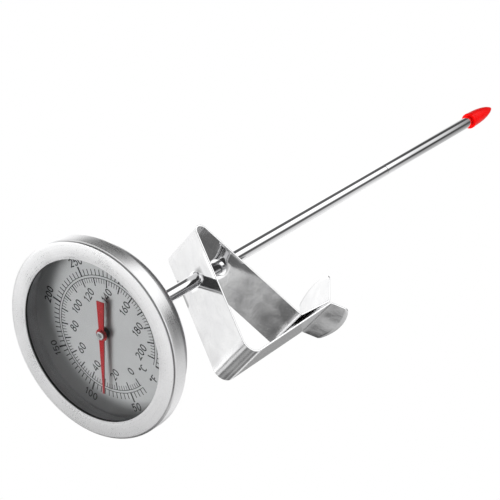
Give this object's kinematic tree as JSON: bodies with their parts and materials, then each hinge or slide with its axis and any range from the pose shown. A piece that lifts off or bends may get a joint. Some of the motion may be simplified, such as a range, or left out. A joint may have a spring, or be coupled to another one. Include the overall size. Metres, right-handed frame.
{
  "type": "dial thermometer",
  "caption": "Round bimetal dial thermometer with a long thin probe, a folded spring clip that slides on the probe, and a red push-on tip cap.",
  "frame": {"origin": "on the probe's axis, in the middle of the bezel's rim", "axes": "+Z out of the dial along the probe's axis, probe down -Z; +Y away from the clip's jaw; +X across the clip's strip, to the right of a viewer who faces the dial with +Y up"},
  "size_m": [0.0546, 0.0607, 0.2163],
  "materials": {
    "pressed_steel": "satin pressed stainless steel",
    "case_steel": "plain drawn stainless steel",
    "black_seal": "matt black",
    "lens_glass": "clear flat glass",
    "dial_face": "satin silver with black printed scales",
    "probe_steel": "polished stainless tube",
    "guide_brass": "turned",
    "coil_metal": "rolled bimetal strip",
    "spindle_steel": "ground wire and turned hub",
    "pointer_red": "satin red paint",
    "clip_steel": "bright rolled strip with fine scratches",
    "cap_red": "glossy moulded"
  },
  "bodies": {
    "head_and_probe": {"bezel_ring": "pressed_steel", "lens_seal": "black_seal", "lens": "lens_glass", "spacer_ring": "case_steel", "dial_plate": "dial_face", "dial_seat": "case_steel", "case_cup": "case_steel", "stem_collar": "case_steel", "stem_tube": "probe_steel", "probe_plug": "probe_steel", "upper_guide": "guide_brass", "middle_guide": "guide_brass", "lower_guide": "guide_brass", "bimetal_coil": "coil_metal", "coil_anchor": "guide_brass"},
    "pointer_shaft": {"spindle": "spindle_steel", "coil_ferrule": "guide_brass", "pointer": "pointer_red", "pointer_hub": "spindle_steel"},
    "clip_frame": {"clip_front_leg": "clip_steel"},
    "clip_inner_leaf": {"clip_back_leg": "clip_steel"},
    "clip_jaw": {"clip_jaw_leaf": "clip_steel"},
    "cap": {"tip_cap": "cap_red"}
  },
  "joints": [
    {"name": "pointer_turn", "type": "hinge", "parent": "head_and_probe", "child": "pointer_shaft", "pos_m": [0, 0, 0], "axis": [0, 0, -1], "range_deg": [-41.6, 278.4], "stiffness_Nm_per_rad": 0.00005},
    {"name": "clip_slide", "type": "slide", "parent": "head_and_probe", "child": "clip_frame", "axis": [0, 0, 1], "range_m": [-0.14, 0.02]},
    {"name": "jaw_flex", "type": "hinge", "parent": "clip_frame", "child": "clip_jaw", "pos_m": [0, -0.02725, -0.03624], "axis": [-1, 0, 0], "range_deg": [0, 6], "stiffness_Nm_per_rad": 1},
    {"name": "inner_leaf_flex", "type": "hinge", "parent": "clip_frame", "child": "clip_inner_leaf", "pos_m": [0, 0.0096, -0.05028], "axis": [1, 0, 0], "range_deg": [0, 2], "stiffness_Nm_per_rad": 1},
    {"name": "cap_pull", "type": "slide", "parent": "head_and_probe", "child": "cap", "axis": [0, 0, -1], "range_m": [0, 0.04]}
  ],
  "couplings": [
    {"joint": "inner_leaf_flex", "follows": "jaw_flex", "ratio": 0.3333}
  ]
}
